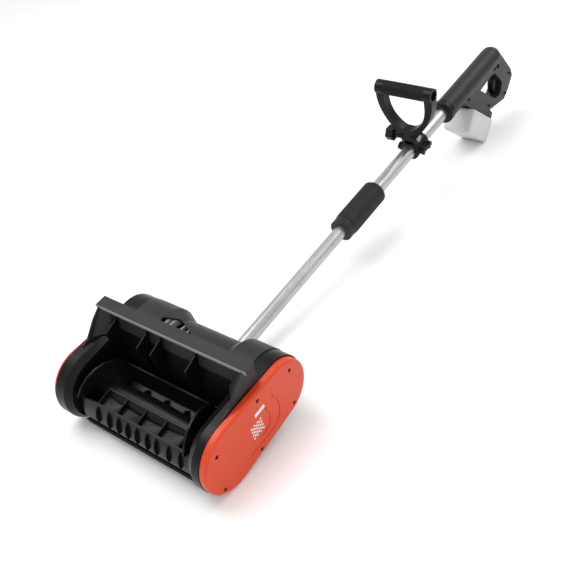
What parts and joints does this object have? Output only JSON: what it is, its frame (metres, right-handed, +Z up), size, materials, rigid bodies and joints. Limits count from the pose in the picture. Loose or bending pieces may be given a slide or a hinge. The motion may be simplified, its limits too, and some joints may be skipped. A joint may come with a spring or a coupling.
{
  "type": "single stage snowblower",
  "caption": "Cordless snow thrower with a powered paddle auger in an open scoop, a telescopic pole, a front D-grip and a rear trigger handle with a slide-on battery.",
  "frame": {"origin": "under the middle of the bounding box, on the floor it rests on", "axes": "+X across the machine towards the belt side, +Y horizontally from the scoop back to the rear handle, +Z up; the pole climbs from the scoop at the resting angle"},
  "size_m": [0.3254, 1.292, 0.2696],
  "materials": {
    "black_abs": "moulded black ABS, fine texture",
    "grey_abs": "moulded dark grey ABS, spark-eroded texture",
    "orange_abs": "moulded orange ABS, satin gloss",
    "satin_aluminium": "drawn and satin anodised tube",
    "soft_grip": "moulded soft grip",
    "bright_steel": "turned steel",
    "dark_screw": "blackened steel screw",
    "motor_steel": "zinc plated steel can",
    "belt_rubber": "moulded rubber belt",
    "board_green": "lacquered circuit board",
    "pale_shell": "pale frosted polycarbonate",
    "cell_wrap": "shrink-wrapped cells",
    "cable_jacket": "flexible PVC"
  },
  "bodies": {
    "scoop": {"scoop_trough": "black_abs", "scraper_bar": "dark_screw", "visor_hood": "grey_abs", "deflector_fins": "black_abs", "side_housing_right": "black_abs", "side_housing_left": "black_abs", "side_cover_right": "orange_abs", "side_cover_left": "orange_abs", "cover_screws": "dark_screw", "auger_bearings": "bright_steel", "drive_belt": "belt_rubber", "motor_can": "motor_steel", "motor_plate": "motor_steel", "motor_screws": "dark_screw", "rear_housing_upper": "grey_abs", "rear_housing_lower": "grey_abs", "rear_housing_screws": "dark_screw", "vent_grille": "black_abs", "control_board": "board_green", "pole_socket": "grey_abs", "socket_screws": "dark_screw", "lower_tube": "satin_aluminium", "lower_cable": "cable_jacket"},
    "auger": {"auger_core": "black_abs", "auger_paddle_front": "black_abs", "auger_paddle_rear": "black_abs", "auger_flight_right": "black_abs", "auger_flight_left": "black_abs", "auger_shaft": "bright_steel", "driven_pulley": "black_abs"},
    "rotor": {"motor_rotor": "bright_steel", "drive_pulley": "bright_steel"},
    "upper_pole": {"upper_tube": "satin_aluminium", "upper_cable": "cable_jacket", "coupling_sleeve": "grey_abs", "tube_collar": "black_abs", "handle_shell_right": "grey_abs", "handle_shell_left": "grey_abs", "handle_screws": "dark_screw", "rear_pad": "soft_grip", "foot_guard": "black_abs", "switch_module": "black_abs", "terminal_block": "black_abs"},
    "lock": {"lock_ring": "grey_abs"},
    "clamp": {"clamp_upper": "black_abs", "clamp_lower": "black_abs", "clamp_screws": "dark_screw"},
    "grip": {"grip_bow": "black_abs", "grip_sleeve": "soft_grip"},
    "knob": {"star_knob": "black_abs", "pivot_bolt": "bright_steel"},
    "trigger": {"trigger": "black_abs"},
    "lock_off": {"lock_off_button": "black_abs"},
    "battery": {"battery_case": "pale_shell", "battery_cells": "cell_wrap"},
    "battery_latch": {"battery_release": "pale_shell"}
  },
  "joints": [
    {"name": "auger_spin", "type": "hinge", "parent": "scoop", "child": "auger", "pos_m": [0, -0.58447, 0.06204], "axis": [1, 0, 0], "continuous": true},
    {"name": "motor_spin", "type": "hinge", "parent": "scoop", "child": "rotor", "pos_m": [0, -0.46216, 0.08186], "axis": [1, 0, 0], "continuous": true},
    {"name": "pole_telescope", "type": "slide", "parent": "scoop", "child": "upper_pole", "axis": [0, 0.989, 0.148], "range_m": [-0.18, 0.03]},
    {"name": "lock_ring_twist", "type": "hinge", "parent": "upper_pole", "child": "lock", "pos_m": [0, -0.05744, 0.08076], "axis": [0, 0.989, 0.148], "range_deg": [0, 90]},
    {"name": "clamp_slide", "type": "slide", "parent": "upper_pole", "child": "clamp", "axis": [0, 0.989, 0.148], "range_m": [-0.1, 0.08]},
    {"name": "grip_tilt", "type": "hinge", "parent": "clamp", "child": "grip", "pos_m": [0, 0.19944, 0.14802], "axis": [1, 0, 0], "range_deg": [-40, 40]},
    {"name": "knob_turn", "type": "hinge", "parent": "clamp", "child": "knob", "pos_m": [0, 0.19944, 0.14802], "axis": [1, 0, 0], "range_deg": [0, 360]},
    {"name": "trigger_pull", "type": "slide", "parent": "upper_pole", "child": "trigger", "axis": [0, 0.6968, 0.7172], "range_m": [0, 0.007], "stiffness_N_per_m": 500, "springref_m": -0.002},
    {"name": "lock_off_press", "type": "slide", "parent": "upper_pole", "child": "lock_off", "axis": [1, 0, 0], "range_m": [-0.003, 0.003], "stiffness_N_per_m": 400},
    {"name": "battery_slide", "type": "slide", "parent": "upper_pole", "child": "battery", "axis": [0, 0.804, -0.5947], "range_m": [0, 0.1]},
    {"name": "battery_release_press", "type": "slide", "parent": "battery", "child": "battery_latch", "axis": [0, -0.5947, -0.804], "range_m": [0, 0.004], "stiffness_N_per_m": 400, "springref_m": -0.001}
  ],
  "couplings": [
    {"joint": "motor_spin", "follows": "auger_spin", "ratio": 4}
  ]
}
